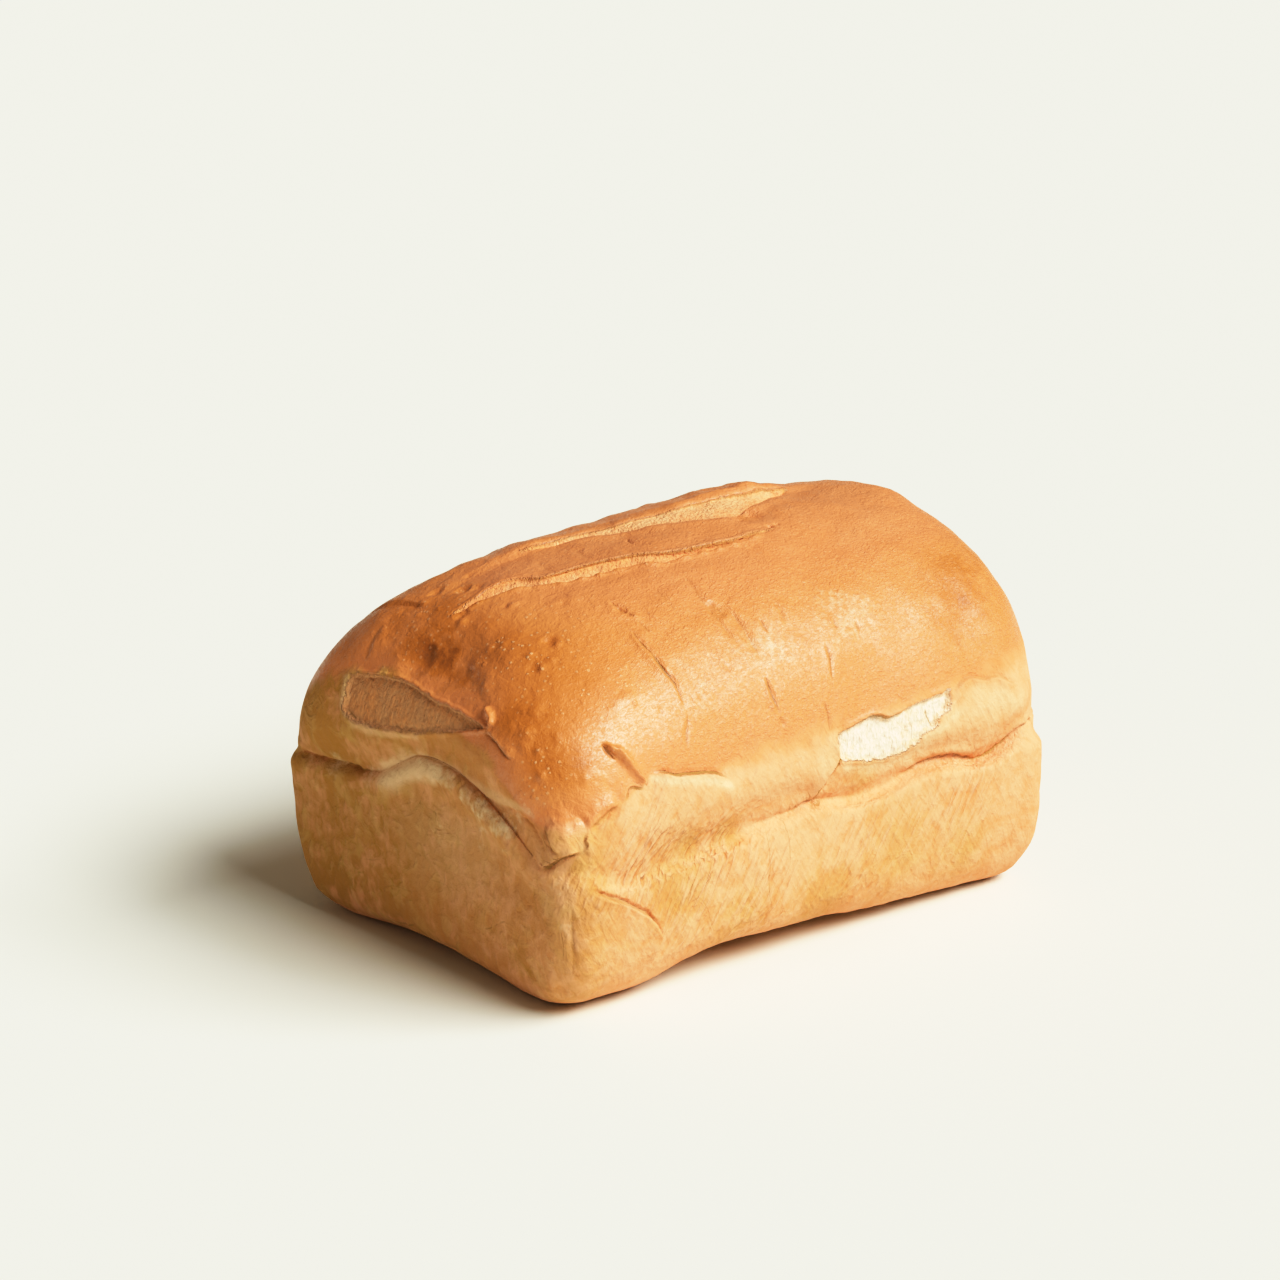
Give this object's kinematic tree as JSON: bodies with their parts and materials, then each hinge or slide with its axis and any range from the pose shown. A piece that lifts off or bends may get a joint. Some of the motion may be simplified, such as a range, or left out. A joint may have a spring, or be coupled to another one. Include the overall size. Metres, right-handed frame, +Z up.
{
  "type": "split tin bread loaf",
  "caption": "Uncut white bread loaf baked in a tin: tapered pale walls, a fold at the rim, and a glossy browned crown torn open along two long cuts.",
  "frame": {"origin": "under the middle of the loaf's box, on the table", "axes": "+X along the loaf, +Z up; the long side at -Y has the torn strip"},
  "size_m": [0.2078, 0.1474, 0.1262],
  "materials": {
    "crust": "baked bread crust: orange-brown and softly glossy on the crown, pale gold and dull on the tin walls, cream where it is torn"
  },
  "bodies": {
    "root": {"loaf": "crust"}
  },
  "joints": []
}
